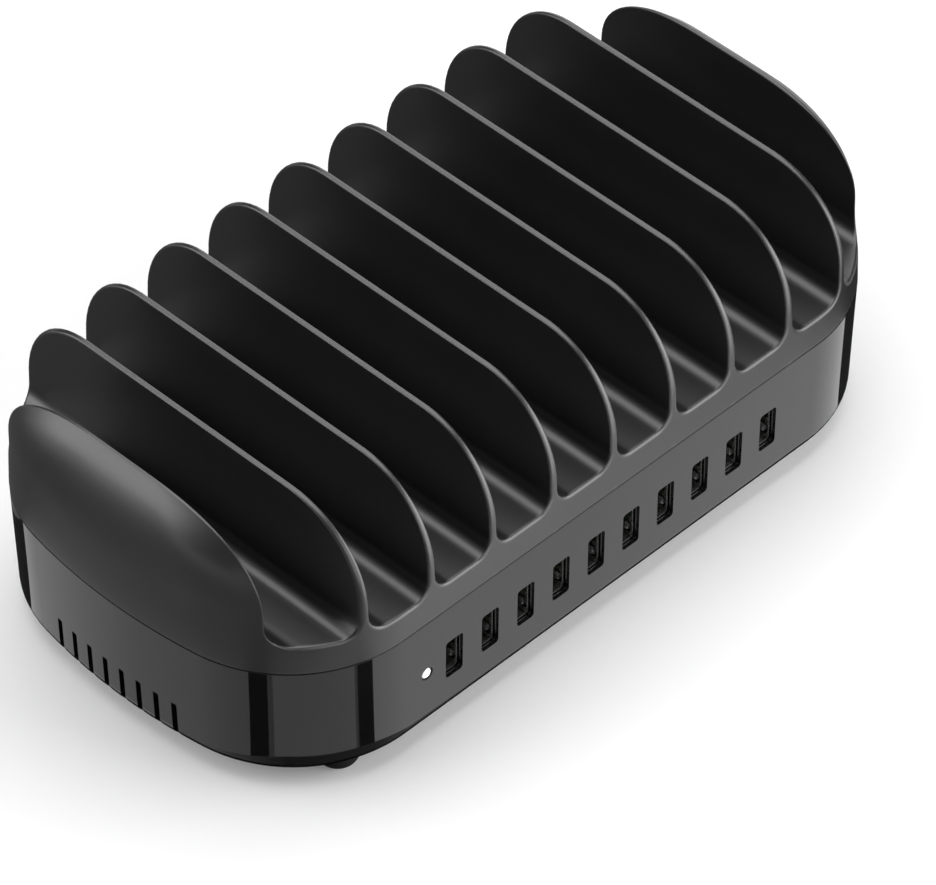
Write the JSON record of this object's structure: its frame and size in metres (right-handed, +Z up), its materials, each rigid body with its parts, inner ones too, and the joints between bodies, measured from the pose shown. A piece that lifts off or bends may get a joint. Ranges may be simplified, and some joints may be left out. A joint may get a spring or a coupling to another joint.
{
  "type": "charging station organizer",
  "caption": "Desk charging station: rounded black housing with a row of upright USB-A sockets under a cover whose thin dividers form open slots for standing devices.",
  "frame": {"origin": "on the ground under the middle of the housing", "axes": "+X along the row of slots, -Y towards the USB sockets, +Z up"},
  "size_m": [0.2606, 0.1394, 0.0933],
  "materials": {
    "cover_black": "satin moulded black",
    "housing_black": "polished black",
    "foot_rubber": "matt black rubber",
    "light_lens": "clear lens lit white",
    "light_source": "white light source",
    "socket_steel": "plated steel shell",
    "tongue_plastic": "dark grey plastic",
    "contact_gold": "gold-plated strip",
    "board_green": "green board",
    "sheet_plastic": "thin insulating sheet",
    "ferrite": "dark grey ferrite",
    "winding": "taped copper winding",
    "capacitor_can": "sleeved metal can",
    "film_box": "yellow box",
    "chip_black": "moulded black",
    "heatsink": "plain aluminium plate",
    "inlet_black": "moulded black",
    "pin_brass": "plated brass",
    "rocker_black": "polished black rocker",
    "wire_cover": "wire insulation",
    "screw_steel": "zinc-plated steel"
  },
  "bodies": {
    "station": {"top_cover": "cover_black", "lower_housing": "housing_black", "foot_front_left": "foot_rubber", "foot_front_right": "foot_rubber", "foot_rear_left": "foot_rubber", "foot_rear_right": "foot_rubber", "led_light_pipe": "light_lens", "status_led": "light_source", "usb_shell_01": "socket_steel", "usb_tongue_01": "tongue_plastic", "usb_contacts_01": "contact_gold", "usb_shell_02": "socket_steel", "usb_tongue_02": "tongue_plastic", "usb_contacts_02": "contact_gold", "usb_shell_03": "socket_steel", "usb_tongue_03": "tongue_plastic", "usb_contacts_03": "contact_gold", "usb_shell_04": "socket_steel", "usb_tongue_04": "tongue_plastic", "usb_contacts_04": "contact_gold", "usb_shell_05": "socket_steel", "usb_tongue_05": "tongue_plastic", "usb_contacts_05": "contact_gold", "usb_shell_06": "socket_steel", "usb_tongue_06": "tongue_plastic", "usb_contacts_06": "contact_gold", "usb_shell_07": "socket_steel", "usb_tongue_07": "tongue_plastic", "usb_contacts_07": "contact_gold", "usb_shell_08": "socket_steel", "usb_tongue_08": "tongue_plastic", "usb_contacts_08": "contact_gold", "usb_shell_09": "socket_steel", "usb_tongue_09": "tongue_plastic", "usb_contacts_09": "contact_gold", "usb_shell_10": "socket_steel", "usb_tongue_10": "tongue_plastic", "usb_contacts_10": "contact_gold", "usb_board": "board_green", "psu_board": "board_green", "insulation_sheet": "sheet_plastic", "transformer_core": "ferrite", "transformer_winding": "winding", "bulk_capacitors": "capacitor_can", "output_capacitors": "capacitor_can", "common_mode_choke": "ferrite", "x_capacitor": "film_box", "bridge_rectifier": "chip_black", "primary_heatsink": "heatsink", "secondary_heatsink": "heatsink", "fuse": "chip_black", "ac_inlet_body": "inlet_black", "ac_inlet_pins": "pin_brass", "switch_housing": "inlet_black", "switch_terminals": "pin_brass", "ac_leads": "wire_cover", "dc_leads": "wire_cover", "board_screws": "screw_steel", "case_screws": "screw_steel"},
    "rocker": {"switch_rocker": "rocker_black"}
  },
  "joints": [
    {"name": "power_switch", "type": "hinge", "parent": "station", "child": "rocker", "pos_m": [-0.021, 0.0625, 0.026], "axis": [0, 0, 1], "range_deg": [0, 18]}
  ]
}
